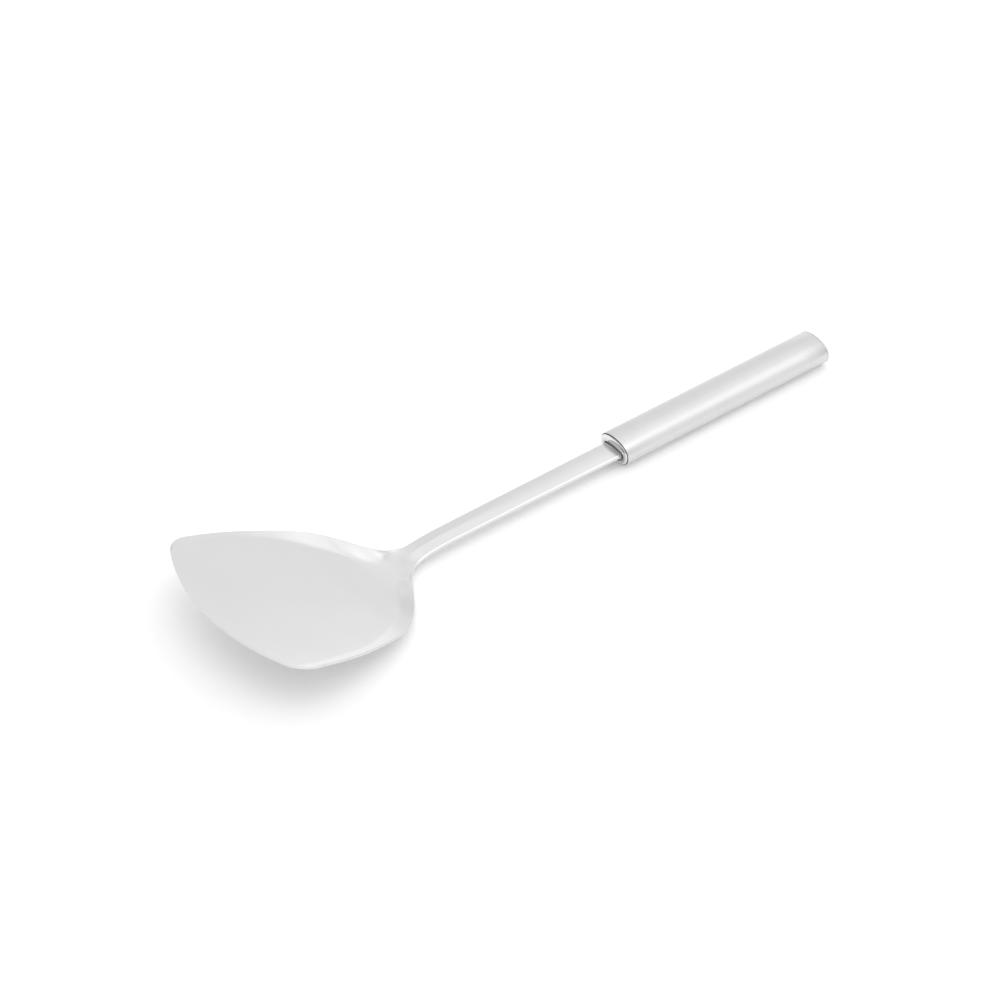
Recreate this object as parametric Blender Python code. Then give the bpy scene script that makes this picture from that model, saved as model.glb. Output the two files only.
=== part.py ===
"""Wok spatula: a pressed steel blade and stem held in an oval tube handle.

Lengths are in metres. +X runs from the blade to the handle's far end, +Z is up, and the
spatula lies on its back as on a table: the handle and the blade's heel touch z = 0.
The origin is the middle of the overall length, on the surface below the spatula.
Distances called reach are measured from the handle's front rim towards the blade.
"""

import math

import bmesh
import bpy

# Overall
OVERALL_LENGTH = 0.3704

# Handle tube
HANDLE_LENGTH = 0.1324
HANDLE_WIDTH = 0.0214
HANDLE_HEIGHT = 0.0142
HANDLE_WALL = 0.0010
RIM_ROUNDING = 0.0006
OVAL_POWER = 2.22
OVAL_SIDES = 44
UNDERSIDE_FULLNESS_SHARE = 0.02

# Gap left between neighbouring pieces, and how far a cutter runs past what it cuts
CLEARANCE = 0.0003
CUT_OVERRUN = 0.001

# Front ferrule
FERRULE_INSET = 0.0005
BEAD_REACH = 0.0008
BEAD_WIDTH = 0.0018
FERRULE_FRONT_WALL = 0.0020
FERRULE_SKIRT_LENGTH = 0.010
FERRULE_SKIRT_WALL = 0.0010
BEAD_STEPS = 5

# End cap
CAP_THICKNESS = 0.0012
CAP_ROUNDING = 0.0004
CAP_SKIRT_LENGTH = 0.007
CAP_SKIRT_WALL = 0.0010
CAP_STEPS = 3

# Stem
STEM_LENGTH = 0.107
STEM_WIDTH_AT_HANDLE = 0.0130
STEM_WIDTH_AT_NECK = 0.0119
STEM_THICKNESS = 0.0018
STEM_CROWN = 0.0007
STEM_OFFSET = 0.0013
STEM_ARCH = 0.0005

# Tang, the stem's end inside the handle
TANG_LENGTH = 0.060
TANG_WIDTH = 0.0090
TANG_SHOULDER_REACH = 0.0045
TANG_SHOULDER_LENGTH = 0.0030

# Support block that centres the tang in the tube
SUPPORT_PLACE = 0.046
SUPPORT_LENGTH = 0.008

# Blade
BLADE_WIDTH = 0.1084
BLADE_THICKNESS = 0.0013
TIP_RISE = 0.0334
HEEL_LENGTH = 0.035
HEEL_FLAT_DEPTH = 0.00012
FRONT_RADIUS = 0.104
CORNER_RADIUS = 0.0142
DISH_RADIUS = 0.455
RIM_WIDTH = 0.011
RIM_HEIGHT = 0.0030

# Numbers of mesh divisions
TANG_STEPS = 4
STEM_STEPS = 12
NECK_STEPS = 14
BLADE_STEPS = 16
CORNER_STEPS = 4
HALF_COLUMNS = 11

# Side edge of the blade: share of the way from the neck to the front corner, and share of
# the way from the stem's half width to the blade's half width.
SIDE_EDGE_SHARES = (
    (0.0, 0.0),
    (0.09, 0.0),
    (0.157, 0.009),
    (0.2155, 0.0745),
    (0.2775, 0.273),
    (0.3386, 0.478),
    (0.41, 0.652),
    (0.495, 0.780),
    (0.596, 0.861),
    (0.756, 0.950),
    (0.87, 0.983),
    (1.0, 1.0),
)

# Fall of the centre line from the stem to the heel: share of the heel's length, and share
# of the height left.
NECK_FALL_SHARES = (
    (0.0, 1.0),
    (0.19, 0.945),
    (0.37, 0.842),
    (0.53, 0.644),
    (0.67, 0.37),
    (0.86, 0.096),
    (1.0, 0.0),
)

# Rise of the centre line from the heel to the tip: share of the way, and share of the rise.
BLADE_RISE_SHARES = (
    (0.0, 0.0),
    (0.052, 0.025),
    (0.1, 0.067),
    (0.193, 0.145),
    (0.365, 0.326),
    (0.615, 0.594),
    (1.0, 1.0),
)

# Share of the stem's crown and of the rim's height that is left, by share of the way from
# the neck to the tip.
CROWN_SHARES = ((0.0, 1.0), (0.06, 1.0), (0.1, 0.85), (0.14, 0.0), (1.0, 0.0))
RIM_SHARES = (
    (0.0, 0.0),
    (0.13, 0.0),
    (0.178, 0.37),
    (0.229, 0.6),
    (0.285, 1.0),
    (0.338, 0.8),
    (0.408, 0.64),
    (0.492, 0.39),
    (0.624, 0.2),
    (0.882, 0.1),
    (1.0, 0.0),
)

# Share of the rim, or of the stem's half width, that is rounded where it leaves the floor.
RIM_FILLET_SHARE = 0.4
CROWN_FILLET_SHARES = ((0.0, 1.0), (0.4, 1.0), (1.0, 0.4))

# Where the front edge's bulge starts, as a share of the way from the neck to the corner,
# and where on the corner's turn the side edge hands over to the front edge.
BULGE_START_SHARE = 0.35
CORNER_SPLIT_SHARE = 0.5

# How much the columns crowd towards the edges
COLUMN_CROWDING_SHARE = 0.35

# Reach over which the centre line's slope is taken
SLOPE_STEP = 0.0003

# Sizes worked out from those above
HALF_STEM_AT_HANDLE = STEM_WIDTH_AT_HANDLE / 2
HALF_STEM_AT_NECK = STEM_WIDTH_AT_NECK / 2
HALF_TANG = TANG_WIDTH / 2
HALF_BLADE = BLADE_WIDTH / 2
HALF_WIDTH = HANDLE_WIDTH / 2
HALF_HEIGHT = HANDLE_HEIGHT / 2
AXIS_HEIGHT = HALF_HEIGHT
HEEL_HEIGHT = BLADE_THICKNESS - HEEL_FLAT_DEPTH
TIP_REACH = OVERALL_LENGTH - HANDLE_LENGTH
BLADE_LENGTH = TIP_REACH - STEM_LENGTH
FRONT_RIM_X = OVERALL_LENGTH / 2 - HANDLE_LENGTH
HANDLE_END_X = OVERALL_LENGTH / 2
TUBE_END_X = HANDLE_END_X - CAP_THICKNESS - CLEARANCE
FRONT_CENTRE_REACH = TIP_REACH - FRONT_RADIUS
CORNER_CENTRE_Y = HALF_BLADE - CORNER_RADIUS
CORNER_CENTRE_REACH = FRONT_CENTRE_REACH + math.sqrt(
    (FRONT_RADIUS - CORNER_RADIUS) ** 2 - CORNER_CENTRE_Y**2
)
CORNER_TURN = math.atan2(CORNER_CENTRE_REACH - FRONT_CENTRE_REACH, CORNER_CENTRE_Y)
SPLIT_TURN = CORNER_TURN * CORNER_SPLIT_SHARE
SPLIT_REACH = CORNER_CENTRE_REACH + CORNER_RADIUS * math.sin(SPLIT_TURN)
SPLIT_Y = CORNER_CENTRE_Y + CORNER_RADIUS * math.cos(SPLIT_TURN)
FRONT_ARC_Y = CORNER_CENTRE_Y + CORNER_RADIUS * math.cos(CORNER_TURN)


def smooth_curve(points):
    """A monotone cubic curve through points, as a function of their first coordinate."""
    places = [point[0] for point in points]
    values = [point[1] for point in points]
    steps = [b - a for a, b in zip(places, places[1:])]
    chords = [(b - a) / step for a, b, step in zip(values, values[1:], steps)]
    slopes = [chords[0]]
    for before, after in zip(chords, chords[1:]):
        turning = before * after <= 0
        slopes.append(0 if turning else 2 * before * after / (before + after))
    slopes.append(chords[-1])

    def value(place):
        place = min(max(place, places[0]), places[-1])
        index = 0
        while place > places[index + 1]:
            index += 1
        step = steps[index]
        t = (place - places[index]) / step
        start = values[index] * (1 + 2 * t) * (1 - t) ** 2 + slopes[index] * step * t * (1 - t) ** 2
        end = values[index + 1] * t * t * (3 - 2 * t) + slopes[index + 1] * step * t * t * (t - 1)
        return start + end

    return value


side_edge = smooth_curve(SIDE_EDGE_SHARES)
neck_fall = smooth_curve(NECK_FALL_SHARES)
blade_rise = smooth_curve(BLADE_RISE_SHARES)
crown_left = smooth_curve(CROWN_SHARES)
rim_left = smooth_curve(RIM_SHARES)
crown_fillet = smooth_curve(CROWN_FILLET_SHARES)


def mix(start, end, share):
    return start + (end - start) * share


def ease(share):
    """0 to 1 with level ends."""
    share = min(max(share, 0), 1)
    return share * share * (3 - 2 * share)


def blade_share(reach):
    return (reach - STEM_LENGTH) / BLADE_LENGTH


def half_width(reach):
    """Half width of the stamping at its side edge, up to the middle of the front corner."""
    if reach < -TANG_SHOULDER_REACH:
        share = (-reach - TANG_SHOULDER_REACH) / TANG_SHOULDER_LENGTH
        return mix(HALF_STEM_AT_HANDLE, HALF_TANG, min(share, 1))
    if reach < STEM_LENGTH:
        return mix(HALF_STEM_AT_HANDLE, HALF_STEM_AT_NECK, max(reach, 0) / STEM_LENGTH)
    if reach < CORNER_CENTRE_REACH:
        share = (reach - STEM_LENGTH) / (CORNER_CENTRE_REACH - STEM_LENGTH)
        return mix(HALF_STEM_AT_NECK, HALF_BLADE, side_edge(share))
    return CORNER_CENTRE_Y + math.sqrt(CORNER_RADIUS**2 - (reach - CORNER_CENTRE_REACH) ** 2)


def front_reach(y):
    """Reach of the front edge at a distance y from the middle."""
    if abs(y) < FRONT_ARC_Y:
        return FRONT_CENTRE_REACH + math.sqrt(FRONT_RADIUS**2 - y * y)
    return CORNER_CENTRE_REACH + math.sqrt(CORNER_RADIUS**2 - (abs(y) - CORNER_CENTRE_Y) ** 2)


def thickness(reach):
    return mix(STEM_THICKNESS, BLADE_THICKNESS, ease((reach - STEM_LENGTH) / HEEL_LENGTH))


def stem_height(reach):
    """Height of the stem's ridge, which arches a little between the handle and the neck."""
    arch = STEM_ARCH * math.sin(math.pi / 2 * min(max(reach / STEM_LENGTH, 0), 1))
    return AXIS_HEIGHT + STEM_OFFSET + arch


def centre_height(reach):
    if reach <= STEM_LENGTH:
        return stem_height(reach)
    past_neck = reach - STEM_LENGTH
    if past_neck < HEEL_LENGTH:
        return mix(HEEL_HEIGHT, stem_height(reach), neck_fall(past_neck / HEEL_LENGTH))
    share = (past_neck - HEEL_LENGTH) / (BLADE_LENGTH - HEEL_LENGTH)
    return mix(HEEL_HEIGHT, TIP_RISE, blade_rise(share))


def ramp(share, fillet):
    """0 to 1: a rounded start, fillet long, then a straight slope."""
    if share < fillet:
        return share * share / fillet / (2 - fillet)
    return (2 * share - fillet) / (2 - fillet)


def top_point(side_reach, column):
    """A point of the upper face. column runs from -1 at the near edge to 1 at the far edge."""
    half = half_width(side_reach)
    y = column * half
    start = mix(STEM_LENGTH, CORNER_CENTRE_REACH, BULGE_START_SHARE)
    bulge = front_reach(column * SPLIT_Y) - SPLIT_REACH
    reach = side_reach + bulge * ease((side_reach - start) / (SPLIT_REACH - start))
    share = blade_share(side_reach)
    crown = STEM_CROWN * crown_left(share)
    if side_reach < -TANG_SHOULDER_REACH:
        crown = crown * half / HALF_STEM_AT_HANDLE
    if share < 0:
        fillet = crown_fillet(side_reach / STEM_LENGTH)
    else:
        fillet = RIM_FILLET_SHARE
    rim = min(RIM_WIDTH, half)
    rise = RIM_HEIGHT * rim_left(share) - crown
    rim_share = max((abs(y) - half + rim) / rim, 0)
    height = centre_height(reach) + y * y / DISH_RADIUS / 2 + rise * ramp(rim_share, fillet)
    return FRONT_RIM_X - reach, y, height


def side_stations():
    """Places along the side edge, from the tang's end to the middle of the front corner."""
    tang_end = -TANG_LENGTH
    shoulder_end = -TANG_SHOULDER_REACH - TANG_SHOULDER_LENGTH
    heel = STEM_LENGTH + HEEL_LENGTH
    runs = (
        (tang_end, shoulder_end, TANG_STEPS),
        (shoulder_end, -TANG_SHOULDER_REACH, 1),
        (-TANG_SHOULDER_REACH, STEM_LENGTH, STEM_STEPS),
        (STEM_LENGTH, heel, NECK_STEPS),
        (heel, CORNER_CENTRE_REACH, BLADE_STEPS),
        (CORNER_CENTRE_REACH, SPLIT_REACH, CORNER_STEPS),
    )
    stations = [tang_end]
    for start, end, steps in runs:
        stations += [mix(start, end, step / steps) for step in range(1, steps + 1)]
    return stations


def columns():
    """Places across the stamping from -1 to 1, closer together near the edges."""
    places = []
    for step in range(-HALF_COLUMNS, HALF_COLUMNS + 1):
        share = step / HALF_COLUMNS
        places.append(share * (1 + COLUMN_CROWDING_SHARE - COLUMN_CROWDING_SHARE * share * share))
    return places


def mesh_object(name, vertices, faces, material):
    mesh = bpy.data.meshes.new(name)
    mesh.from_pydata(vertices, [], faces)
    mesh.validate()
    mesh.materials.append(material)
    piece = bpy.data.objects.new(name, mesh)
    bpy.context.scene.collection.objects.link(piece)
    return piece


def shade(piece, sharp_angle):
    piece.data.shade_smooth()
    piece.data.set_sharp_from_angle(angle=sharp_angle)


def steel(name, colour, roughness, metallic):
    material = bpy.data.materials.new(name)
    material.use_nodes = True
    shader = material.node_tree.nodes["Principled BSDF"]
    shader.inputs["Base Color"].default_value = (*colour, 1)
    shader.inputs["Roughness"].default_value = roughness
    shader.inputs["Metallic"].default_value = metallic
    return material


def oval(x, inset):
    """One ring of the handle's section at x, drawn in by inset.

    The lower half is a little fuller and ends in a narrow flat that the handle lies on.
    """
    across = HALF_WIDTH - inset
    up = HALF_HEIGHT - inset
    ring = []
    for side in range(OVAL_SIDES):
        angle = 2 * math.pi * (side + 1 / 2) / OVAL_SIDES
        radius = (abs(math.cos(angle)) ** OVAL_POWER + abs(math.sin(angle)) ** OVAL_POWER) ** (
            -1 / OVAL_POWER
        )
        y = across * radius * math.cos(angle)
        z = up * radius * math.sin(angle)
        if z < 0:
            z = max(z * (1 + UNDERSIDE_FULLNESS_SHARE), -up)
        ring.append((x, y, AXIS_HEIGHT + z))
    return ring


def loft(name, profile, closed, material):
    """A solid through oval rings. profile lists (x, inset), from inside to outside.

    A closed profile joins its last ring to its first. An open one is capped at both ends.
    """
    vertices = [point for x, inset in profile for point in oval(x, inset)]
    faces = []
    spans = len(profile) if closed else len(profile) - 1
    for span in range(spans):
        first = span * OVAL_SIDES
        second = (span + 1) % len(profile) * OVAL_SIDES
        for side in range(OVAL_SIDES):
            turn = (side + 1) % OVAL_SIDES
            faces.append((first + side, first + turn, second + turn, second + side))
    if not closed:
        last = (len(profile) - 1) * OVAL_SIDES
        faces.append(tuple(reversed(range(OVAL_SIDES))))
        faces.append(tuple(last + side for side in range(OVAL_SIDES)))
    piece = mesh_object(name, vertices, faces, material)
    face_outwards(piece)
    return piece


def face_outwards(piece):
    shell = bmesh.new()
    shell.from_mesh(piece.data)
    bmesh.ops.recalc_face_normals(shell, faces=shell.faces)
    shell.to_mesh(piece.data)
    shell.free()


def arc(start_angle, end_angle, steps):
    """Cosines and sines of evenly spaced angles, both ends included."""
    turns = [mix(start_angle, end_angle, step / steps) for step in range(steps + 1)]
    return [(math.cos(turn), math.sin(turn)) for turn in turns]


def make_blade_and_stem(material):
    """Blade, stem and tang in one stamping: an upper face, a lower face and the cut edge.

    Under the heel the lower face is flat where the blade lies on the table.
    """
    stations = side_stations()
    places = columns()
    across = len(places)
    upper = []
    lower = []
    for station in stations:
        for place in places:
            x, y, z = top_point(station, place)
            reach = FRONT_RIM_X - x
            rise = centre_height(reach + SLOPE_STEP) - centre_height(reach - SLOPE_STEP)
            slope = rise / SLOPE_STEP / 2
            upper.append((x, y, z))
            lower.append((x, y, max(z - thickness(reach) * math.hypot(1, slope), 0)))
    count = len(upper)
    faces = []
    for row in range(len(stations) - 1):
        for column in range(across - 1):
            corner = row * across + column
            square = (corner, corner + 1, corner + across + 1, corner + across)
            faces.append(square)
            faces.append(tuple(count + index for index in reversed(square)))
    last_row = (len(stations) - 1) * across
    border = list(range(across))
    border += [row * across + across - 1 for row in range(1, len(stations))]
    border += [last_row + column for column in reversed(range(across - 1))]
    border += [row * across for row in reversed(range(1, len(stations) - 1))]
    for index, start in enumerate(border):
        end = border[(index + 1) % len(border)]
        faces.append((start, count + start, count + end, end))
    piece = mesh_object("blade_and_stem", upper + lower, faces, material)
    face_outwards(piece)
    shade(piece, math.radians(40))
    return piece


def slot_cutter(name, reach_start, reach_end, half, section_reach):
    """A prism round the stem or tang with the clearance on every side."""
    level = [top_point(section_reach, place) for place in columns()]
    stretch = (half + CLEARANCE) / half
    top = [(y * stretch, z + CLEARANCE) for x, y, z in level]
    base = [(y, z - thickness(section_reach) - 2 * CLEARANCE) for y, z in reversed(top)]
    outline = top + base
    ends = (FRONT_RIM_X - reach_start, FRONT_RIM_X - reach_end)
    vertices = [(x, y, z) for x in ends for y, z in outline]
    size = len(outline)
    faces = [tuple(range(size)), tuple(reversed(range(size, 2 * size)))]
    for index in range(size):
        turn = (index + 1) % size
        faces.append((index, turn, size + turn, size + index))
    cutter = mesh_object(name, vertices, faces, None)
    face_outwards(cutter)
    cutter.hide_render = True
    cutter.display_type = "WIRE"
    return cutter


def cut(piece, cutter):
    boolean = piece.modifiers.new("slot", "BOOLEAN")
    boolean.operation = "DIFFERENCE"
    boolean.solver = "EXACT"
    boolean.object = cutter


def make_handle_tube(material):
    """The oval tube, open at both ends, with its cut rims slightly rounded."""
    profile = [
        (FRONT_RIM_X, HANDLE_WALL),
        (FRONT_RIM_X, RIM_ROUNDING),
        (FRONT_RIM_X + RIM_ROUNDING, 0),
        (TUBE_END_X, 0),
        (TUBE_END_X, HANDLE_WALL),
    ]
    tube = loft("handle_tube", profile, True, material)
    shade(tube, math.radians(30))
    return tube


def make_front_ferrule(material):
    """A polished cup: a skirt inside the tube and a rounded face before the tube's rim."""
    outer = HANDLE_WALL + CLEARANCE
    inner = outer + FERRULE_SKIRT_WALL
    skirt_end = FRONT_RIM_X + FERRULE_SKIRT_LENGTH
    seat_x = FRONT_RIM_X - CLEARANCE
    face_inset = FERRULE_INSET + BEAD_WIDTH
    bead_height = BEAD_REACH - CLEARANCE
    profile = [
        (FRONT_RIM_X + FERRULE_FRONT_WALL, inner),
        (skirt_end, inner),
        (skirt_end, outer),
        (seat_x, outer),
    ]
    for cosine, sine in arc(0, math.pi / 2, BEAD_STEPS):
        profile.append((seat_x - bead_height * sine, face_inset - BEAD_WIDTH * cosine))
    ferrule = loft("front_ferrule", profile, False, material)
    slot_start = BEAD_REACH + CUT_OVERRUN
    slot_end = -FERRULE_FRONT_WALL - CUT_OVERRUN
    cutter = slot_cutter("ferrule_slot", slot_start, slot_end, HALF_STEM_AT_HANDLE, 0)
    cut(ferrule, cutter)
    shade(ferrule, math.radians(35))
    return ferrule


def make_tang_support(material):
    """A block that fills the tube's section and holds the tang's end in the middle."""
    inset = HANDLE_WALL + CLEARANCE
    start = FRONT_RIM_X + SUPPORT_PLACE
    end = start + SUPPORT_LENGTH
    support = loft("tang_support", [(start, inset), (end, inset)], False, material)
    slot_start = CUT_OVERRUN - SUPPORT_PLACE
    slot_end = -SUPPORT_PLACE - SUPPORT_LENGTH - CUT_OVERRUN
    cutter = slot_cutter("support_slot", slot_start, slot_end, HALF_TANG, -SUPPORT_PLACE)
    cut(support, cutter)
    shade(support, math.radians(30))
    return support


def make_end_cap(material):
    """A flush cap with a rounded outer edge and a skirt inside the tube."""
    outer = HANDLE_WALL + CLEARANCE
    inner = outer + CAP_SKIRT_WALL
    seat_x = HANDLE_END_X - CAP_THICKNESS
    skirt_end = seat_x - CAP_SKIRT_LENGTH
    profile = [
        (seat_x, inner),
        (skirt_end, inner),
        (skirt_end, outer),
        (seat_x, outer),
        (seat_x, 0),
    ]
    edge_x = HANDLE_END_X - CAP_ROUNDING
    for cosine, sine in arc(0, math.pi / 2, CAP_STEPS):
        profile.append((edge_x + CAP_ROUNDING * sine, CAP_ROUNDING - CAP_ROUNDING * cosine))
    cap = loft("end_cap", profile, False, material)
    shade(cap, math.radians(30))
    return cap


def clear_scene():
    for thing in list(bpy.data.objects):
        bpy.data.objects.remove(thing)


def main():
    clear_scene()
    satin = steel("satin_steel", (0.72, 0.72, 0.72), 0.32, 1)
    brushed = steel("brushed_steel", (0.70, 0.70, 0.70), 0.28, 1)
    polished = steel("polished_steel", (0.78, 0.78, 0.78), 0.08, 1)
    plastic = steel("dark_plastic", (0.05, 0.05, 0.05), 0.5, 0)
    make_blade_and_stem(satin)
    make_handle_tube(brushed)
    make_front_ferrule(polished)
    make_tang_support(plastic)
    make_end_cap(brushed)


main()
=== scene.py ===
"""Looks of the wok spatula: fine surfaces, steel finishes, studio and camera.

Metres, in the CAD model's frame: +X runs from the blade to the handle's far end, +Z is up
and the table is z = 0. Distances called reach are measured from the handle's front rim
towards the blade, as in the CAD model.
"""

import math

import bmesh
import bpy
import numpy as np
from mathutils import Matrix, Vector


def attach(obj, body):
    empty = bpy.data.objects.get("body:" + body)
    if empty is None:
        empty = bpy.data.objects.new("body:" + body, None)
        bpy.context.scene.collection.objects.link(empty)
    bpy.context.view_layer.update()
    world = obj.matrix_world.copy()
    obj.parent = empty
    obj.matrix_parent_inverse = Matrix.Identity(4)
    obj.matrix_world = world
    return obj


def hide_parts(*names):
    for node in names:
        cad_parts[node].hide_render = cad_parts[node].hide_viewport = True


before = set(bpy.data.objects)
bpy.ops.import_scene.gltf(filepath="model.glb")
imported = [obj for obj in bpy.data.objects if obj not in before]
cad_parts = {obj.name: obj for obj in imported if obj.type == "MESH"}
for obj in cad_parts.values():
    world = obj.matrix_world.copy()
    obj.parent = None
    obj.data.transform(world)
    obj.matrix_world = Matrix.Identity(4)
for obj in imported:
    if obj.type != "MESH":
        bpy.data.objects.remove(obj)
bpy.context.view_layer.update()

# Sizes of the CAD model
OVERALL_LENGTH = 0.3704
HANDLE_LENGTH = 0.1324
HANDLE_WIDTH = 0.0214
HANDLE_HEIGHT = 0.0142
HANDLE_WALL = 0.0010
OVAL_POWER = 2.22
UNDERSIDE_FULLNESS_SHARE = 0.02
STEM_LENGTH = 0.107
STEM_WIDTH_AT_HANDLE = 0.0130
STEM_WIDTH_AT_NECK = 0.0119
STEM_THICKNESS = 0.0018
STEM_CROWN = 0.0007
STEM_OFFSET = 0.0013
STEM_ARCH = 0.0005
TANG_LENGTH = 0.060
TANG_WIDTH = 0.0090
TANG_SHOULDER_REACH = 0.0045
TANG_SHOULDER_LENGTH = 0.0030
BLADE_WIDTH = 0.1084
BLADE_THICKNESS = 0.0013
TIP_RISE = 0.0334
HEEL_LENGTH = 0.035
HEEL_FLAT_DEPTH = 0.00012
FRONT_RADIUS = 0.104
CORNER_RADIUS = 0.0142
DISH_RADIUS = 0.455
RIM_HEIGHT = 0.0030

# Fine detail and fits of this script's own
RIM_BAND_WIDTH = 0.015
RIM_SLOPE = 0.2
STEM_EDGE_WIDTH = 0.0010
STEM_EDGE_DROP = 0.0006
BLADE_EDGE_WIDTH = 0.0003
BLADE_EDGE_DROP = 0.0003
LOWER_EDGE_ROUNDING = 0.00025
EDGE_SUPPORT = 0.00012
EDGE_STRIP = 0.0016
BEND_SPREAD = 0.0014
TUBE_EDGE = 0.00022
TUBE_LIP = 0.0003
TUBE_LIP_DEPTH = 0.0008
GROOVE_WIDTH = 0.0003
GROOVE_DEPTH = 0.0012
BEAD_WIDTH = 0.0025
BEAD_HEIGHT = 0.0009
BEAD_BROW = 0.0010
BEAD_CHIN_SHARE = 1.5
BEAD_START_TURN = 0.5
FACE_DEPTH = 0.0004
SLOT_GAP = 0.0004
CAP_EDGE = 0.0009
CAP_THICKNESS = 0.0012
SEAM_WIDTH = 0.00006
FIT_GAP = 0.0001
FERRULE_WALL = 0.0010
CUP_FLOOR = 0.002
SKIRT_LENGTH = 0.010
SLOT_DEPTH = 0.003
CAP_WALL = 0.001
CAP_SKIRT_LENGTH = 0.007

# The worn upper edge of the sheet: shares of its width from the side, and of its drop
WORN_EDGE_SHARES = (
    (1.0, 0.0), (0.9, 0.015), (0.75, 0.07), (0.55, 0.18), (0.35, 0.31), (0.18, 0.46),
    (0.07, 0.64), (0.015, 0.83), (0.0, 1.0),
)

# Shares that shape the blade, as in the CAD model
SIDE_EDGE_SHARES = (
    (0.0, 0.0), (0.09, 0.0), (0.157, 0.009), (0.2155, 0.0745), (0.2775, 0.273), (0.3386, 0.478),
    (0.41, 0.652), (0.495, 0.780), (0.596, 0.861), (0.756, 0.950), (0.87, 0.983), (1.0, 1.0),
)
NECK_FALL_SHARES = (
    (0.0, 1.0), (0.19, 0.945), (0.37, 0.842), (0.53, 0.644), (0.67, 0.37), (0.86, 0.096),
    (1.0, 0.0),
)
BLADE_RISE_SHARES = (
    (0.0, 0.0), (0.052, 0.025), (0.1, 0.067), (0.193, 0.145), (0.365, 0.326), (0.615, 0.594),
    (1.0, 1.0),
)
CROWN_SHARES = ((0.0, 1.0), (0.1, 1.0), (0.125, 0.9), (0.155, 0.0), (1.0, 0.0))
RIM_SHARES = (
    (0.0, 0.0), (0.13, 0.0), (0.178, 0.37), (0.229, 0.6), (0.285, 1.0), (0.338, 0.8),
    (0.408, 0.64), (0.492, 0.39), (0.624, 0.2), (0.882, 0.1), (1.0, 0.0),
)
RIM_BAND_SHARES = (
    (0.0, 0.05), (0.172, 0.06), (0.195, 0.22), (0.216, 0.58), (0.238, 0.93), (0.257, 0.98),
    (0.295, 0.87), (0.345, 0.79), (0.398, 0.66), (0.451, 0.48), (0.537, 0.29), (0.65, 0.25),
    (1.0, 0.25),
)
RIM_FILLET_SHARE = 0.22
CROWN_FILLET_SHARES = ((0.0, 1.0), (0.4, 1.0), (0.8, 0.25), (1.0, 0.06))
BULGE_START_SHARE = 0.35
CORNER_SPLIT_SHARE = 0.5
COLUMN_CROWDING_SHARE = 0.35

# How widely each curve's bends are averaged, as shares of the curve's own length, and the
# averaging bell: how many spreads it reaches each way, and its number of samples
SIDE_EDGE_SPREAD = 0.012
CROWN_SPREAD = 0.008
RIM_SPREAD = 0.012
RIM_BAND_SPREAD = 0.004
CROWN_FILLET_SPREAD = 0.03
BELL_REACH = 2.5
BELL_STEPS = 21

# Fineness of the meshes, and the bends over which shading breaks
HALF_COLUMNS = 22
HANDLE_SIDES = 176
SLOPE_STEP = 0.0005
SHARP_ANGLE = math.radians(40)
FERRULE_SHARP_ANGLE = math.radians(30)

# Values between which most of a noise lies
NOISE_LOW = 0.3
NOISE_HIGH = 0.7

# Finishes. Scales are per metre, and a swing goes both ways from the tone.
WEAR_SCALE = 400
GRAIN_BUMP = 0.05
GRAIN_DEPTH = 0.00002

SATIN_TONE = 0.74
SATIN_GRAIN_SCALES = (60, 1900, 1900)
SATIN_GRAIN_SWING = 0.011
SATIN_FINE_SCALE = 2600
SATIN_FINE_SWING = 0.007
SATIN_FINE_BUMP_SHARE = 0.4
SATIN_CLOUD_SCALE = 38
SATIN_CLOUD_SWING = 0.008
SATIN_ROUGHNESS = (0.20, 0.26)
SATIN_WORN_POINTEDNESS = (0.52, 0.6)
SATIN_WORN_TONE = 0.05
SATIN_WORN_POLISH = 0.06

BRUSHED_TONE = 0.69
BRUSHED_GRAIN_SCALES = (1400, 50, 50)
BRUSHED_GRAIN_SWING = 0.018
BRUSHED_STREAK_SCALES = (7, 700, 700)
BRUSHED_STREAK_SWING = 0.013
BRUSHED_CLOUD_SCALE = 45
BRUSHED_CLOUD_SWING = 0.006
BRUSHED_ROUGHNESS = (0.30, 0.36)
BRUSHED_WORN_POINTEDNESS = (0.53, 0.62)
BRUSHED_WORN_TONE = 0.04
BRUSHED_WORN_POLISH = 0.02

POLISHED_TONE = 0.76
# Painted shade: the sunk face round the stem is painted darker than the bead, as shade in its
# recess, and darker still below the middle height, as painted shade under the stem.
FACE_PAINTED_SHADE_TONE = 0.56
LOW_FACE_PAINTED_SHADE_TONE = 0.34
# Painted shade: the groove behind the bead is painted near black, standing in for the shade in it.
GROOVE_PAINTED_SHADE_TONE = 0.03
POLISHED_CLOUD_SCALE = 220
POLISHED_CLOUD_SWING = 0.03
POLISHED_FINE_SCALE = 1500
POLISHED_ROUGHNESS = (0.06, 0.10)
POLISHED_BUMP = 0.02
POLISHED_BUMP_DEPTH = 0.0001
FACE_ADDED_ROUGHNESS = 0.14
FACE_BORDER = (0.9, 1.1)
LOW_FACE_SHADE_BLEND = 0.001
GROOVE_SHADE_BLEND = 0.0003

PLASTIC_SCALE = 900
PLASTIC_TONES = (0.045, 0.06)
PLASTIC_ROUGHNESS = (0.45, 0.6)
PLASTIC_BUMP = 0.1
PLASTIC_BUMP_DEPTH = 0.0002

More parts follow.
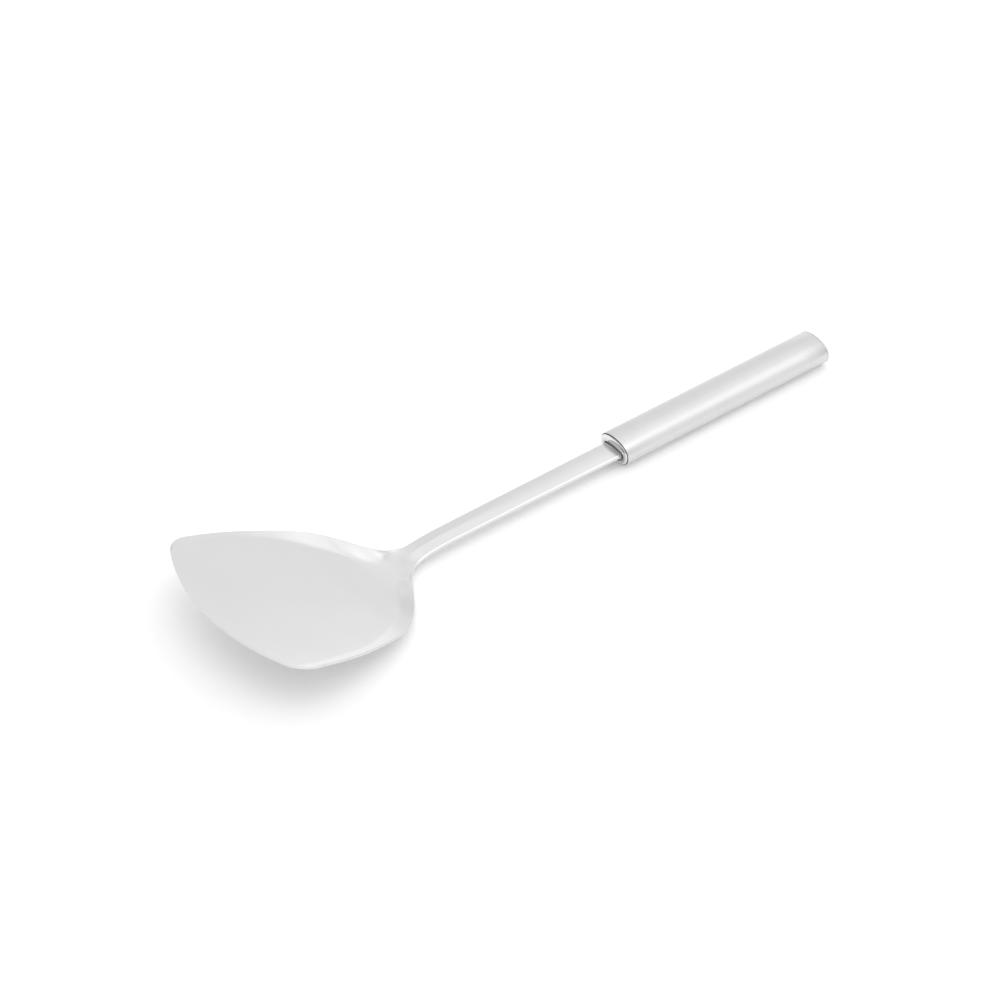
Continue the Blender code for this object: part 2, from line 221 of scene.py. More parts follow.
# Studio: an even light, and soft lamps as azimuth, elevation, sharpness and strength
AMBIENT_LIGHT = 0.40
SOFT_LIGHTS = (
    (60, 30, 4, 0.18), (352, 55, 40, 0.34), (90, 68, 14, 0.36), (150, 68, 14, 0.40),
    (210, 68, 14, 0.64), (270, 68, 14, 1.63), (0, 48, 14, 0.46), (36, 48, 14, 0.35),
    (72, 48, 14, 0.13), (324, 48, 14, 0.37), (15, 28, 14, 0.07), (105, 28, 14, 0.54),
    (315, 28, 14, 0.42), (30, 8, 14, 0.35), (60, 8, 14, 0.34), (50, 0, 90, 0.42),
    (300, 8, 14, 0.60),
)
FLOOR_SIZE = 8.0
FLOOR_GAP = 0.0001
FLOOR_WHITE = 0.95
FLOOR_GLOW = 0.129

# The camera that the photograph was solved to: its direction, its lens as pixels, its
# distance from the middle of the handle's front rim, and where that point shows.
CAMERA_AZIMUTH = -0.6554813
CAMERA_ELEVATION = 0.7238267
CAMERA_LENS_PIXELS = 3026.14
CAMERA_DISTANCE = 1.4866
RIM_PIXEL = (614.19, 448.37)
IMAGE_SIZE = 1000
SENSOR_MM = 36.0
CLIP_START = 0.05
CLIP_END = 20

HALF_HANDLE = HANDLE_WIDTH / 2
HALF_HEIGHT = HANDLE_HEIGHT / 2
HALF_BLADE = BLADE_WIDTH / 2
HALF_STEM_AT_HANDLE = STEM_WIDTH_AT_HANDLE / 2
HALF_STEM_AT_NECK = STEM_WIDTH_AT_NECK / 2
HALF_TANG = TANG_WIDTH / 2
RIM_X = OVERALL_LENGTH / 2 - HANDLE_LENGTH
END_X = OVERALL_LENGTH / 2
HEEL_HEIGHT = BLADE_THICKNESS - HEEL_FLAT_DEPTH
TIP_REACH = OVERALL_LENGTH - HANDLE_LENGTH
BLADE_LENGTH = TIP_REACH - STEM_LENGTH
FRONT_CENTRE = TIP_REACH - FRONT_RADIUS
CORNER_Y = HALF_BLADE - CORNER_RADIUS
CORNER_REACH = FRONT_CENTRE + math.sqrt((FRONT_RADIUS - CORNER_RADIUS) ** 2 - CORNER_Y**2)
CORNER_TURN = math.atan2(CORNER_REACH - FRONT_CENTRE, CORNER_Y)
SPLIT_TURN = CORNER_TURN * CORNER_SPLIT_SHARE
SPLIT_REACH = CORNER_REACH + CORNER_RADIUS * math.sin(SPLIT_TURN)
SPLIT_Y = CORNER_Y + CORNER_RADIUS * math.cos(SPLIT_TURN)
FRONT_ARC_Y = CORNER_Y + CORNER_RADIUS * math.cos(CORNER_TURN)


def spread_out(curve, spread):
    """The curve averaged over a bell of that spread, so that its bends run smooth."""
    offsets = np.linspace(-BELL_REACH, BELL_REACH, BELL_STEPS)
    weights = np.exp(-offsets * offsets / 2)
    weights /= weights.sum()

    def value(x):
        x = np.asarray(x, float)
        return sum(w * curve(x + o * spread) for w, o in zip(weights, offsets))

    return value


def curve_through(points):
    """A monotone cubic through points that runs on straight past both ends."""
    places = np.array([p[0] for p in points], float)
    values = np.array([p[1] for p in points], float)
    steps = np.diff(places)
    chords = np.diff(values) / steps
    slopes = np.empty(len(places))
    slopes[0], slopes[-1] = chords[0], chords[-1]
    for i in range(1, len(chords)):
        a, b = chords[i - 1], chords[i]
        slopes[i] = 0.0 if a * b <= 0 else 2 * a * b / (a + b)

    def value(x):
        x = np.asarray(x, float)
        inside = np.clip(x, places[0], places[-1])
        beyond = (x - inside) * np.where(x < places[0], slopes[0], slopes[-1])
        i = np.clip(np.searchsorted(places, inside, side="right") - 1, 0, len(steps) - 1)
        h = steps[i]
        t = (inside - places[i]) / h
        start = values[i] * (1 + 2 * t) * (1 - t) ** 2 + slopes[i] * h * t * (1 - t) ** 2
        end = values[i + 1] * t * t * (3 - 2 * t) + slopes[i + 1] * h * t * t * (t - 1)
        return start + end + beyond

    return value


side_edge = spread_out(curve_through(SIDE_EDGE_SHARES), SIDE_EDGE_SPREAD)
neck_fall = curve_through(NECK_FALL_SHARES)
blade_rise = curve_through(BLADE_RISE_SHARES)
crown_left = spread_out(curve_through(CROWN_SHARES), CROWN_SPREAD)
rim_left = spread_out(curve_through(RIM_SHARES), RIM_SPREAD)
rim_band = spread_out(curve_through(RIM_BAND_SHARES), RIM_BAND_SPREAD)
crown_fillet = spread_out(curve_through(CROWN_FILLET_SHARES), CROWN_FILLET_SPREAD)


def mix(start, end, share):
    return start + (end - start) * share


def ease(share):
    share = np.clip(share, 0, 1)
    return share * share * (3 - 2 * share)


def half_width(reach):
    """Half width of the pressing at its side edge, up to the middle of the front corner."""
    if reach < -TANG_SHOULDER_REACH:
        share = (-reach - TANG_SHOULDER_REACH) / TANG_SHOULDER_LENGTH
        return mix(HALF_STEM_AT_HANDLE, HALF_TANG, min(share, 1))
    if reach < STEM_LENGTH:
        return mix(HALF_STEM_AT_HANDLE, HALF_STEM_AT_NECK, max(reach, 0) / STEM_LENGTH)
    if reach < CORNER_REACH:
        share = (reach - STEM_LENGTH) / (CORNER_REACH - STEM_LENGTH)
        return mix(HALF_STEM_AT_NECK, HALF_BLADE, float(side_edge(share)))
    return CORNER_Y + math.sqrt(CORNER_RADIUS**2 - (reach - CORNER_REACH) ** 2)


def front_reach(y):
    """Reach of the front edge at that distance from the middle line."""
    y = np.abs(y)
    front = FRONT_CENTRE + np.sqrt(np.maximum(FRONT_RADIUS**2 - y * y, 0))
    corner = CORNER_REACH + np.sqrt(np.maximum(CORNER_RADIUS**2 - (y - CORNER_Y) ** 2, 0))
    return np.where(y < FRONT_ARC_Y, front, corner)


def thickness(reach):
    return mix(STEM_THICKNESS, BLADE_THICKNESS, ease((reach - STEM_LENGTH) / HEEL_LENGTH))


def stem_height(reach):
    arch = STEM_ARCH * np.sin(math.pi / 2 * np.clip(reach / STEM_LENGTH, 0, 1))
    return HALF_HEIGHT + STEM_OFFSET + arch


def centre_line(reach):
    """Height of the upper face along the middle line, with a kink at the heel."""
    reach = np.asarray(reach, float)
    past_neck = reach - STEM_LENGTH
    neck = mix(HEEL_HEIGHT, stem_height(reach), neck_fall(past_neck / HEEL_LENGTH))
    share = (past_neck - HEEL_LENGTH) / (BLADE_LENGTH - HEEL_LENGTH)
    blade = mix(HEEL_HEIGHT, TIP_RISE, blade_rise(share))
    beyond_stem = np.where(past_neck < HEEL_LENGTH, neck, blade)
    return np.where(past_neck < 0, stem_height(reach), beyond_stem)


centre_height = spread_out(centre_line, BEND_SPREAD)


def ramp(share, fillet):
    """0 to 1: a rounded start, fillet long, then a straight slope."""
    rounded = share * share / fillet / (2 - fillet)
    straight = (2 * share - fillet) / (2 - fillet)
    return np.where(share < fillet, rounded, straight)


def across_places(half):
    """Distances from the middle line: crowded towards the edge, the last one at the edge."""
    inner = half - EDGE_STRIP
    steps = np.linspace(-1, 1, 2 * HALF_COLUMNS + 1)
    q = COLUMN_CROWDING_SHARE
    places = inner * steps * (1 + q - q * steps * steps)
    return np.concatenate([[-half], places, [half]])


def top_row(side_reach):
    """Points of the upper face from the near edge to the far edge."""
    half = half_width(side_reach)
    y = across_places(half)
    start = mix(STEM_LENGTH, CORNER_REACH, BULGE_START_SHARE)
    bulge = front_reach(y / half * SPLIT_Y) - SPLIT_REACH
    reach = side_reach + bulge * ease((side_reach - start) / (SPLIT_REACH - start))
    share = (side_reach - STEM_LENGTH) / BLADE_LENGTH
    crown = STEM_CROWN * float(crown_left(share))
    if side_reach < -TANG_SHOULDER_REACH:
        crown *= half / HALF_STEM_AT_HANDLE
    near = np.abs(y) / half
    height = centre_height(reach) + y * y / DISH_RADIUS / 2
    if crown > 0:
        height -= crown * ramp(near, float(crown_fillet(side_reach / STEM_LENGTH)))
    rise = RIM_HEIGHT * max(float(rim_left(share)), 0)
    width = min(RIM_BAND_WIDTH * float(rim_band(share)), half)
    band = min(RIM_SLOPE * width, rise)
    height += (rise - band) * near * near
    into_band = np.maximum((np.abs(y) - half + width) / width, 0)
    height += band * ramp(into_band, RIM_FILLET_SHARE)
    return np.stack([RIM_X - reach, y, height], -1)


def new_object(name, vertices, faces):
    """A mesh object in the scene, its faces turned outwards."""
    mesh = bpy.data.meshes.new(name)
    mesh.from_pydata(
        [tuple(v) for v in vertices], [], [tuple(int(i) for i in face) for face in faces]
    )
    mesh.validate()
    piece = bpy.data.objects.new(name, mesh)
    bpy.context.scene.collection.objects.link(piece)
    shell = bmesh.new()
    shell.from_mesh(mesh)
    bmesh.ops.recalc_face_normals(shell, faces=shell.faces)
    shell.to_mesh(mesh)
    shell.free()
    return piece


def apply_modifiers(piece, sharp_angle):
    """Bakes the modifiers into the mesh and shades it smooth but for edges over sharp_angle."""
    bpy.context.view_layer.update()
    graph = bpy.context.evaluated_depsgraph_get()
    mesh = bpy.data.meshes.new_from_object(piece.evaluated_get(graph))
    old = piece.data
    piece.modifiers.clear()
    piece.data = mesh
    mesh.name = piece.name
    bpy.data.meshes.remove(old)
    mesh.shade_smooth()
    mesh.set_sharp_from_angle(angle=sharp_angle)


def finish_piece(piece, node, material):
    """Gives a piece its material and puts it in the CAD node's place."""
    piece.data.materials.clear()
    piece.data.materials.append(material)
    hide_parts(node)
    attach(piece, "root")


def quarter(steps):
    """Sines and cosines from 0 to a right angle, both ends included."""
    turns = np.linspace(0, math.pi / 2, steps + 1)
    return list(zip(np.sin(turns), np.cos(turns)))


def edge_rings(rows, drop):
    """Rings round the sheet's cut edge, from the upper face's border to the lower face's."""
    count, across = rows.shape[:2]
    border = [(0, column) for column in range(across)]
    border += [(row, across - 1) for row in range(1, count)]
    border += [(count - 1, column) for column in reversed(range(across - 1))]
    border += [(row, 0) for row in reversed(range(1, count - 1))]
    row, column = np.array(border).T
    edge = rows[row, column]
    inner = rows[np.clip(row, 1, count - 2), np.clip(column, 1, across - 2)] - edge
    along = np.roll(edge, -1, 0) - np.roll(edge, 1, 0)
    outward = np.stack([along[:, 1], -along[:, 0]], -1)
    outward /= np.linalg.norm(outward, axis=1)[:, None]
    runs = np.stack([along[:, :2], inner[:, :2]], 1)
    rises = np.stack([along[:, 2], inner[:, 2]], -1)
    lean = np.linalg.solve(runs, rises[..., None])
    climb = (lean[..., 0] * outward).sum(-1)
    place = (RIM_X - edge[:, 0] - STEM_LENGTH) / HEEL_LENGTH
    width = mix(STEM_EDGE_WIDTH, BLADE_EDGE_WIDTH, ease(place))
    fall = mix(STEM_EDGE_DROP, BLADE_EDGE_DROP, ease(place))
    depth = drop[row, column]

    def ring(inset, height):
        return np.concatenate([edge[:, :2] - outward * inset[:, None], height[:, None]], 1)

    def lower_height(inset):
        return np.maximum(edge[:, 2] - inset * climb - depth, 0)

    inset = width + EDGE_SUPPORT
    rings = [ring(inset, edge[:, 2] - inset * climb)]
    for inward, down in WORN_EDGE_SHARES:
        inset = width * inward
        rings.append(ring(inset, edge[:, 2] - inset * climb - fall * down))
    for cosine, sine in quarter(3):
        inset = np.full(len(edge), LOWER_EDGE_ROUNDING * (1 - sine))
        rings.append(ring(inset, lower_height(inset) + LOWER_EDGE_ROUNDING * (1 - cosine)))
    inset = np.full(len(edge), LOWER_EDGE_ROUNDING + EDGE_SUPPORT)
    rings.append(ring(inset, lower_height(inset)))
    return row, column, rings


def make_pressing():
    """Blade, stem and tang as one sheet with its cut edges rounded."""
    # Reach where each run of rows starts and ends, and its number of rows
    runs = (
        (-TANG_LENGTH, -TANG_SHOULDER_REACH - TANG_SHOULDER_LENGTH, 8),
        (-TANG_SHOULDER_REACH - TANG_SHOULDER_LENGTH, -TANG_SHOULDER_REACH, 3),
        (-TANG_SHOULDER_REACH, STEM_LENGTH, 64),
        (STEM_LENGTH, STEM_LENGTH + HEEL_LENGTH, 60),
        (STEM_LENGTH + HEEL_LENGTH, CORNER_REACH, 70),
        (CORNER_REACH, SPLIT_REACH, 10),
    )
    stations = [-TANG_LENGTH]
    for start, end, steps in runs:
        stations += [mix(start, end, step / steps) for step in range(1, steps + 1)]
    rows = np.array([top_row(station) for station in stations])
    reach = RIM_X - rows[..., 0]
    ahead, behind = centre_height(reach + SLOPE_STEP), centre_height(reach - SLOPE_STEP)
    slope = (ahead - behind) / SLOPE_STEP / 2
    drop = thickness(reach) * np.hypot(1, slope)
    under = rows.copy()
    under[..., 2] = np.maximum(rows[..., 2] - drop, 0)
    row, column, rings = edge_rings(rows, drop)
    rows[row, column] = rings[0]
    under[row, column] = rings[-1]
    count_rows, across = rows.shape[:2]
    count = count_rows * across
    faces = []
    for index in range(count_rows - 1):
        for side in range(across - 1):
            corner = index * across + side
            square = (corner, corner + 1, corner + across + 1, corner + across)
            faces.append(square)
            faces.append(tuple(count + place for place in reversed(square)))
    border = row * across + column
    size = len(border)
    loops = [border]
    loops += [2 * count + size * index + np.arange(size) for index in range(len(rings) - 2)]
    loops.append(count + border)
    for first, second in zip(loops, loops[1:]):
        faces += zip(first, second, np.roll(second, -1), np.roll(first, -1))
    vertices = np.concatenate([rows.reshape(-1, 3), under.reshape(-1, 3)] + rings[1:-1])
    piece = new_object("pressed_blade_and_stem", vertices, faces)
    piece.data.shade_smooth()
    return piece


def oval_ring(x, inset, brow=0.0):
    """One ring of the handle's section at x, drawn in by inset.

    The top is drawn in by brow more, and the base by BEAD_CHIN_SHARE of brow less.
    """
    angle = 2 * math.pi * (np.arange(HANDLE_SIDES) + 0.5) / HANDLE_SIDES
    cosine, sine = np.cos(angle), np.sin(angle)
    radius = (np.abs(cosine) ** OVAL_POWER + np.abs(sine) ** OVAL_POWER) ** (-1 / OVAL_POWER)
    y = (HALF_HANDLE - inset) * radius * cosine
    z = (HALF_HEIGHT - inset) * radius * sine
    brow = brow * radius * sine
    lower = np.maximum(z * (1 + UNDERSIDE_FULLNESS_SHARE), inset - HALF_HEIGHT)
    lower += BEAD_CHIN_SHARE * brow
    height = HALF_HEIGHT + np.where(z < 0, lower, z - brow)
    return np.stack([np.full(HANDLE_SIDES, x), y, height], -1)


def loft(name, profile, closed):
    """A solid through oval rings. profile lists x, inset and, where there is one, brow."""
    sides = HANDLE_SIDES
    vertices = np.concatenate([oval_ring(*place) for place in profile])
    faces = []
    spans = len(profile) if closed else len(profile) - 1
    for span in range(spans):
        first = span * sides
        second = (span + 1) % len(profile) * sides
        for side in range(sides):
            turn = (side + 1) % sides
            faces.append((first + side, first + turn, second + turn, second + side))
    if not closed:
        last = (len(profile) - 1) * sides
        faces.append(tuple(reversed(range(sides))))
        faces.append(tuple(last + side for side in range(sides)))
    return new_object(name, vertices, faces)


def make_tube():
    """The handle's tube, thinned to a lip at its front end."""
    end = END_X - CAP_THICKNESS - SEAM_WIDTH
    lip_edge = TUBE_EDGE / 3
    profile = [(RIM_X + HANDLE_LENGTH / 3, HANDLE_WALL), (RIM_X + 2 * TUBE_LIP_DEPTH, HANDLE_WALL)]
    profile += [(RIM_X + TUBE_LIP_DEPTH, TUBE_LIP), (RIM_X + lip_edge, TUBE_LIP)]
    for sine, cosine in quarter(2)[1:]:
        profile.append((RIM_X + lip_edge * (1 - sine), TUBE_LIP - lip_edge * (1 - cosine)))
    for sine, cosine in quarter(5):
        profile.append((RIM_X + TUBE_EDGE * (1 - cosine), TUBE_EDGE * (1 - sine)))
    profile += [(mix(RIM_X + TUBE_EDGE, end, share), 0) for share in np.linspace(0, 1, 9)[1:-1]]
    for sine, cosine in quarter(2):
        profile.append((end - SEAM_WIDTH * (1 - sine), SEAM_WIDTH * (1 - cosine)))
    profile.append((end, HANDLE_WALL))
    tube = loft("brushed_tube", profile, True)
    apply_modifiers(tube, SHARP_ANGLE)
    return tube


def slot_cutter():
    """A prism round the stem's section at the rim, with a thin gap on every side."""
    level = top_row(0.0)
    half = HALF_STEM_AT_HANDLE
    stretch = (half + SLOT_GAP) / half
    top = [(y * stretch, z + SLOT_GAP) for _, y, z in level]
    base = [(y, z - STEM_THICKNESS - 2 * SLOT_GAP) for y, z in reversed(top)]
    outline = top + base
    size = len(outline)
    ends = (RIM_X - 2 * BEAD_HEIGHT, RIM_X + SLOT_DEPTH)
    vertices = [(x, y, z) for x in ends for y, z in outline]
    faces = [tuple(range(size)), tuple(reversed(range(size, 2 * size)))]
    for index in range(size):
        turn = (index + 1) % size
        faces.append((index, turn, size + turn, size + index))
    return new_object("slot_cutter", vertices, faces)


def make_ferrule():
    """The polished cup: a bead in front of the tube, a sunk face with the stem's slot, a skirt."""
    outer = HANDLE_WALL + FIT_GAP
    inner = outer + FERRULE_WALL
    start = TUBE_LIP + GROOVE_WIDTH
    depth = RIM_X + GROOVE_DEPTH
    skirt_end = RIM_X + SKIRT_LENGTH
    profile = [(RIM_X + CUP_FLOOR, inner), (skirt_end, inner), (skirt_end, outer)]
    profile += [(depth + GROOVE_WIDTH, outer), (depth, start), (RIM_X, start)]
    first = math.cos(BEAD_START_TURN)
    for turn in np.linspace(BEAD_START_TURN, math.pi / 2, 9):
        share = (1 - math.cos(turn) / first) / 2
        x = RIM_X - BEAD_HEIGHT * math.sin(turn)
        profile.append((x, start + BEAD_WIDTH * share, BEAD_BROW * share))
    for sine, cosine in quarter(7)[1:]:
        share = (1 + sine) / 2
        x = RIM_X - BEAD_HEIGHT + FACE_DEPTH * (1 - cosine)
        profile.append((x, start + BEAD_WIDTH * share, BEAD_BROW * share))
    ferrule = loft("polished_ferrule", profile, False)
    cutter = slot_cutter()
    boolean = ferrule.modifiers.new("slot", "BOOLEAN")
    boolean.operation = "DIFFERENCE"
    boolean.solver = "EXACT"
    boolean.object = cutter
    apply_modifiers(ferrule, FERRULE_SHARP_ANGLE)
    bpy.data.objects.remove(cutter)
    return ferrule


def make_cap():
    """The flush cap with a rounded edge and a skirt inside the tube."""
    outer = HANDLE_WALL + FIT_GAP
    inner = outer + CAP_WALL
    seat = END_X - CAP_THICKNESS
    skirt_end = seat - CAP_SKIRT_LENGTH
    profile = [(seat, inner), (skirt_end, inner), (skirt_end, outer), (seat, outer)]
    for sine, cosine in quarter(2):
        profile.append((seat + SEAM_WIDTH * (1 - cosine), SEAM_WIDTH * (1 - sine)))
    for sine, cosine in quarter(8):
        profile.append((END_X - CAP_EDGE * (1 - sine), CAP_EDGE * (1 - cosine)))
    cap = loft("flush_cap", profile, False)
    apply_modifiers(cap, SHARP_ANGLE)
    return cap


def math_node(tree, operation, *values):
    """A math node on numbers and sockets. Returns its output."""
    node = tree.nodes.new("ShaderNodeMath")
    node.operation = operation
    for socket, value in zip(node.inputs, values):
        if isinstance(value, (int, float)):
            socket.default_value = value
        else:
            tree.links.new(value, socket)
    return node.outputs["Value"]


class Nodes:
    """Short helpers for building one material's nodes."""

    def __init__(self, name):
        self.material = bpy.data.materials.new(name)
        self.material.use_nodes = True
        self.tree = self.material.node_tree
        self.shader = self.tree.nodes["Principled BSDF"]
        self.place = self.add("ShaderNodeTexCoord").outputs["Object"]

    def add(self, kind):
        return self.tree.nodes.new(kind)

    def link(self, source, target):
        self.tree.links.new(source, target)

    def noise(self, scale, detail=3, roughness=0.6, stretch=(1, 1, 1)):
        """A noise in the model's own places, finer by stretch along each axis."""
        mapping = self.add("ShaderNodeMapping")
        mapping.inputs["Scale"].default_value = stretch
        self.link(self.place, mapping.inputs["Vector"])
        noise = self.add("ShaderNodeTexNoise")
        noise.inputs["Scale"].default_value = scale
        noise.inputs["Detail"].default_value = detail
        noise.inputs["Roughness"].default_value = roughness
        self.link(mapping.outputs["Vector"], noise.inputs["Vector"])
        return noise.outputs["Fac"]

    def spread(self, source, low, high, start=NOISE_LOW, end=NOISE_HIGH):
        """Maps start to end on low to high, and holds both ends."""
        node = self.add("ShaderNodeMapRange")
        node.inputs["From Min"].default_value = start
        node.inputs["From Max"].default_value = end
        node.inputs["To Min"].default_value = low
        node.inputs["To Max"].default_value = high
        self.link(source, node.inputs["Value"])
        return node.outputs["Result"]

    def swing(self, source, amount):
        """A noise as a change of up to amount, both ways."""
        return self.spread(source, -amount, amount)

    def total(self, *values):
        result = values[0]
        for value in values[1:]:
            result = self.math("ADD", result, value)
        return result

    def worn(self, pointedness):
        """Patchy wear on outer edges, 0 to 1."""
        edges = self.spread(self.pointed(), 0, 1, *pointedness)
        return self.math("MULTIPLY", edges, self.noise(WEAR_SCALE))

    def axis(self, name):
        node = self.add("ShaderNodeSeparateXYZ")
        self.link(self.place, node.inputs["Vector"])
        return node.outputs[name]

    def pointed(self):
        """Over a half at outer edges, a half on plain faces."""
        return self.add("ShaderNodeNewGeometry").outputs["Pointiness"]

    def oval(self, half_width, top, base):
        """1 on an oval round the handle's middle line, less inside it."""
        across = self.math("DIVIDE", self.math("ABSOLUTE", self.axis("Y")), half_width)
        level = self.math("SUBTRACT", self.axis("Z"), HALF_HEIGHT)
        sides = [self.math("DIVIDE", level, top), self.math("DIVIDE", level, -base)]
        level = self.math("MAXIMUM", *sides)
        powers = [self.math("POWER", value, OVAL_POWER) for value in (across, level)]
        return self.math("ADD", *powers)

    def math(self, operation, *values):
        return math_node(self.tree, operation, *values)

    def grey(self, value):
        node = self.add("ShaderNodeCombineColor")
        for name in ("Red", "Green", "Blue"):
            self.link(value, node.inputs[name])
        return node.outputs["Color"]

    def bump(self, height, strength, distance):
        node = self.add("ShaderNodeBump")
        node.inputs["Strength"].default_value = strength
        node.inputs["Distance"].default_value = distance
        self.link(height, node.inputs["Height"])
        self.link(node.outputs["Normal"], self.shader.inputs["Normal"])


def satin_steel():
    """Rolled sheet with a fine satin grain along the spatula and edges rubbed bright."""
    nodes = Nodes("satin_steel_looks")
    shader = nodes.shader
    shader.inputs["Metallic"].default_value = 1
    grain = nodes.noise(1, detail=4, roughness=0.7, stretch=SATIN_GRAIN_SCALES)
    fine = nodes.noise(SATIN_FINE_SCALE, detail=2)
    cloud = nodes.noise(SATIN_CLOUD_SCALE, roughness=0.5)
    worn = nodes.worn(SATIN_WORN_POINTEDNESS)
    tone = nodes.total(
        nodes.swing(grain, SATIN_GRAIN_SWING),
        nodes.swing(fine, SATIN_FINE_SWING),
        nodes.swing(cloud, SATIN_CLOUD_SWING),
        nodes.math("MULTIPLY", worn, SATIN_WORN_TONE),
        SATIN_TONE,
    )
    nodes.link(nodes.grey(tone), shader.inputs["Base Color"])
    polish = nodes.math("MULTIPLY", worn, SATIN_WORN_POLISH)
    rough = nodes.math("SUBTRACT", nodes.spread(grain, *SATIN_ROUGHNESS), polish)
    nodes.link(rough, shader.inputs["Roughness"])
    height = nodes.math("ADD", grain, nodes.math("MULTIPLY", fine, SATIN_FINE_BUMP_SHARE))
    nodes.bump(height, GRAIN_BUMP, GRAIN_DEPTH)
    return nodes.material


def brushed_steel():
    """Tube steel brushed round the handle, with faint streaks along it."""
    nodes = Nodes("brushed_steel_looks")
    shader = nodes.shader
    shader.inputs["Metallic"].default_value = 1
    grain = nodes.noise(1, stretch=BRUSHED_GRAIN_SCALES)
    streaks = nodes.noise(1, stretch=BRUSHED_STREAK_SCALES)
    cloud = nodes.noise(BRUSHED_CLOUD_SCALE, roughness=0.5)
    worn = nodes.worn(BRUSHED_WORN_POINTEDNESS)
    tone = nodes.total(
        nodes.swing(grain, BRUSHED_GRAIN_SWING),
        nodes.swing(streaks, BRUSHED_STREAK_SWING),
        nodes.swing(cloud, BRUSHED_CLOUD_SWING),
        nodes.math("MULTIPLY", worn, BRUSHED_WORN_TONE),
        BRUSHED_TONE,
    )
    nodes.link(nodes.grey(tone), shader.inputs["Base Color"])
    polish = nodes.math("MULTIPLY", worn, BRUSHED_WORN_POLISH)
    rough = nodes.math("SUBTRACT", nodes.spread(grain, *BRUSHED_ROUGHNESS), polish)
    nodes.link(rough, shader.inputs["Roughness"])
    nodes.bump(grain, GRAIN_BUMP, GRAIN_DEPTH)
    return nodes.material


def polished_steel():
    """Polished bead; a dull sunk face round the stem, painted darker as shade and darkest below
    the middle height; and a groove painted near black as shade.
    """
    nodes = Nodes("polished_steel_looks")
    shader = nodes.shader
    shader.inputs["Metallic"].default_value = 1
    cloud = nodes.noise(POLISHED_CLOUD_SCALE)
    fine = nodes.noise(POLISHED_FINE_SCALE, detail=2, roughness=0.5)
    inset = TUBE_LIP + GROOVE_WIDTH + BEAD_WIDTH
    top = HALF_HEIGHT - inset - BEAD_BROW
    base = HALF_HEIGHT - inset + BEAD_CHIN_SHARE * BEAD_BROW
    bead = nodes.spread(nodes.oval(HALF_HANDLE - inset, top, base), 0, 1, *FACE_BORDER)
    # Painted shade: behind the rim, in the groove, the tone falls to near black.
    front = nodes.spread(nodes.axis("X"), 1, 0, RIM_X - GROOVE_SHADE_BLEND, RIM_X)
    # Painted shade on the sunk face: darker below the middle height, lighter above it, and both
    # darker than the bead.
    levels = (HALF_HEIGHT - LOW_FACE_SHADE_BLEND, HALF_HEIGHT + LOW_FACE_SHADE_BLEND)
    face = nodes.spread(nodes.axis("Z"), LOW_FACE_PAINTED_SHADE_TONE, FACE_PAINTED_SHADE_TONE, *levels)
    over_shaded_face = nodes.math("SUBTRACT", POLISHED_TONE, face)
    tone = nodes.math("MULTIPLY_ADD", bead, over_shaded_face, face)
    tone = nodes.math("ADD", tone, nodes.swing(cloud, POLISHED_CLOUD_SWING))
    over_shaded_groove = nodes.math("SUBTRACT", tone, GROOVE_PAINTED_SHADE_TONE)
    tone = nodes.math("MULTIPLY_ADD", front, over_shaded_groove, GROOVE_PAINTED_SHADE_TONE)
    nodes.link(nodes.grey(tone), shader.inputs["Base Color"])
    dulled = nodes.spread(bead, FACE_ADDED_ROUGHNESS, 0)
    rough = nodes.math("ADD", nodes.spread(cloud, *POLISHED_ROUGHNESS), dulled)
    nodes.link(rough, shader.inputs["Roughness"])
    nodes.bump(fine, POLISHED_BUMP, POLISHED_BUMP_DEPTH)
    return nodes.material


def moulded_plastic():
    """Dark moulded plastic inside the handle."""
    nodes = Nodes("moulded_plastic_looks")
    shader = nodes.shader
    grain = nodes.noise(PLASTIC_SCALE)
    nodes.link(nodes.grey(nodes.spread(grain, *PLASTIC_TONES)), shader.inputs["Base Color"])
    nodes.link(nodes.spread(grain, *PLASTIC_ROUGHNESS), shader.inputs["Roughness"])
    nodes.bump(grain, PLASTIC_BUMP, PLASTIC_BUMP_DEPTH)
    return nodes.material


def make_floor():
    """Plain white floor that keeps the shadow. Seen directly or in a mirror, it glows a little."""
    bpy.ops.mesh.primitive_plane_add(size=FLOOR_SIZE, location=(0, 0, -FLOOR_GAP))
    floor = bpy.context.object
    floor.name = "studio_floor"
    material = bpy.data.materials.new("studio_floor")
    material.use_nodes = True
    tree = material.node_tree
    tree.nodes.remove(tree.nodes["Principled BSDF"])
    paper = tree.nodes.new("ShaderNodeBsdfDiffuse")
    paper.inputs["Color"].default_value = (FLOOR_WHITE, FLOOR_WHITE, FLOOR_WHITE, 1)
    glow = tree.nodes.new("ShaderNodeEmission")
    glow.inputs["Strength"].default_value = FLOOR_GLOW
    path = tree.nodes.new("ShaderNodeLightPath")
    seen = path.outputs["Is Camera Ray"]
    for name in ("Is Glossy Ray", "Is Transmission Ray"):
        seen = math_node(tree, "MAXIMUM", seen, path.outputs[name])
    nothing = tree.nodes.new("ShaderNodeEmission")
    nothing.inputs["Strength"].default_value = 0
    gate = tree.nodes.new("ShaderNodeMixShader")
    both = tree.nodes.new("ShaderNodeAddShader")
    tree.links.new(seen, gate.inputs[0])
    tree.links.new(nothing.outputs[0], gate.inputs[1])
    tree.links.new(glow.outputs[0], gate.inputs[2])
    tree.links.new(paper.outputs[0], both.inputs[0])
    tree.links.new(gate.outputs[0], both.inputs[1])
    tree.links.new(both.outputs[0], tree.nodes["Material Output"].inputs["Surface"])
    floor.data.materials.append(material)


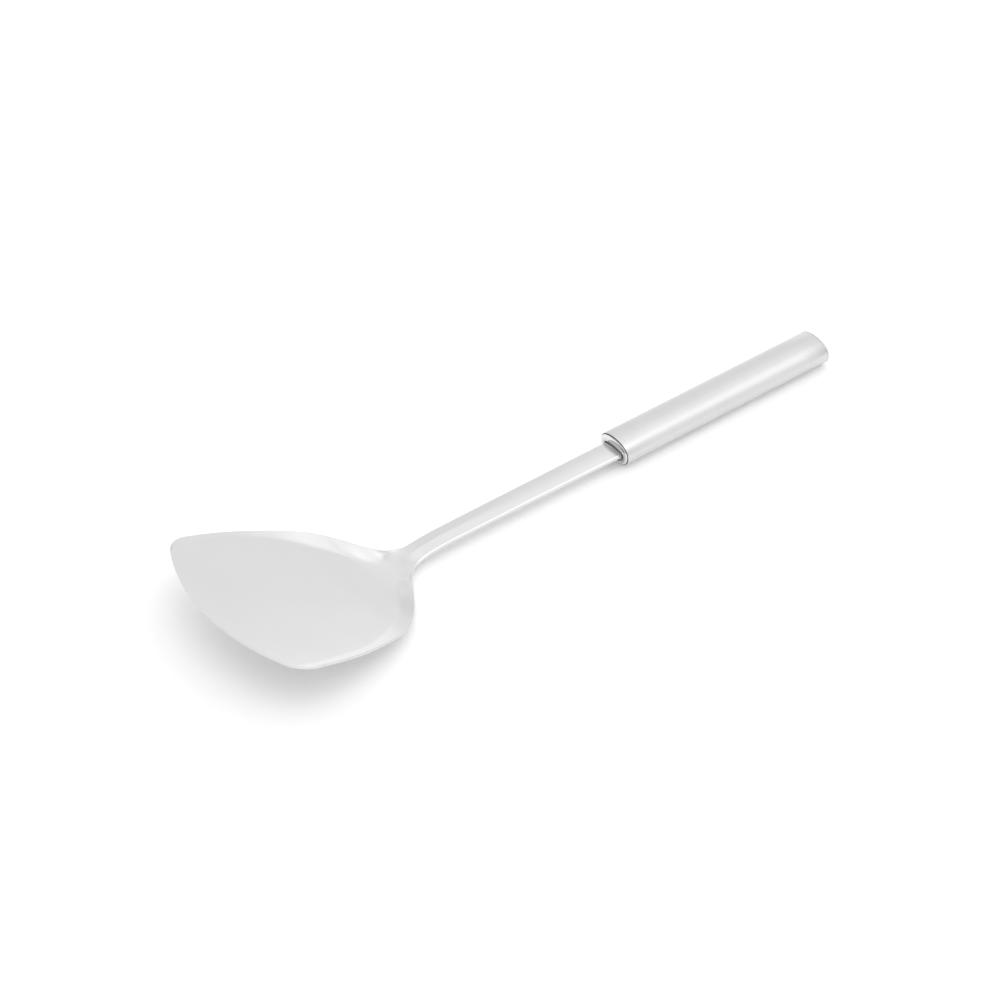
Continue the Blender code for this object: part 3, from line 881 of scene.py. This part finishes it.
def make_world():
    """A pale studio sky: the even light with the soft lamps added."""
    world = bpy.data.worlds.new("studio")
    bpy.context.scene.world = world
    world.use_nodes = True
    tree = world.node_tree
    background = tree.nodes["Background"]
    background.inputs["Color"].default_value = (1, 1, 1, 1)
    place = tree.nodes.new("ShaderNodeTexCoord").outputs["Generated"]
    total = AMBIENT_LIGHT
    for azimuth, elevation, sharpness, strength in SOFT_LIGHTS:
        turn, rise = math.radians(azimuth), math.radians(elevation)
        near = tree.nodes.new("ShaderNodeVectorMath")
        near.operation = "DOT_PRODUCT"
        tree.links.new(place, near.inputs[0])
        across, along = math.cos(rise) * math.cos(turn), math.cos(rise) * math.sin(turn)
        near.inputs[1].default_value = (across, along, math.sin(rise))
        fall = math_node(tree, "MULTIPLY_ADD", near.outputs["Value"], sharpness, -sharpness)
        total = math_node(tree, "MULTIPLY_ADD", math_node(tree, "EXPONENT", fall), strength, total)
    tree.links.new(total, background.inputs["Strength"])


def make_camera():
    """A camera that sees the spatula as the photograph does."""
    turn, tilt = CAMERA_AZIMUTH, CAMERA_ELEVATION
    right = Vector((math.cos(turn), math.sin(turn), 0))
    flat = math.cos(tilt)
    back = Vector((math.sin(turn) * flat, -math.cos(turn) * flat, math.sin(tilt)))
    up = back.cross(right)
    middle = (IMAGE_SIZE - 1) / 2
    ray = right * (RIM_PIXEL[0] - middle) / CAMERA_LENS_PIXELS
    ray -= up * (RIM_PIXEL[1] - middle) / CAMERA_LENS_PIXELS
    ray -= back
    target = Vector((RIM_X, 0, HALF_HEIGHT))
    data = bpy.data.cameras.new("camera")
    camera = bpy.data.objects.new("camera", data)
    bpy.context.scene.collection.objects.link(camera)
    data.sensor_width = SENSOR_MM
    data.lens = CAMERA_LENS_PIXELS * SENSOR_MM / IMAGE_SIZE
    data.clip_start = CLIP_START
    data.clip_end = CLIP_END
    rotation = Matrix((right, up, back)).transposed().to_4x4()
    camera.matrix_world = Matrix.Translation(target - ray * CAMERA_DISTANCE) @ rotation
    bpy.context.scene.camera = camera


make_camera()
satin = satin_steel()
brushed = brushed_steel()
polished = polished_steel()
plastic = moulded_plastic()
finish_piece(make_pressing(), "blade_and_stem", satin)
finish_piece(make_tube(), "handle_tube", brushed)
finish_piece(make_ferrule(), "front_ferrule", polished)
finish_piece(make_cap(), "end_cap", brushed)
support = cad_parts["tang_support"]
for slot in support.material_slots:
    slot.material = plastic
make_floor()
make_world()
bpy.context.scene.view_settings.view_transform = "Standard"
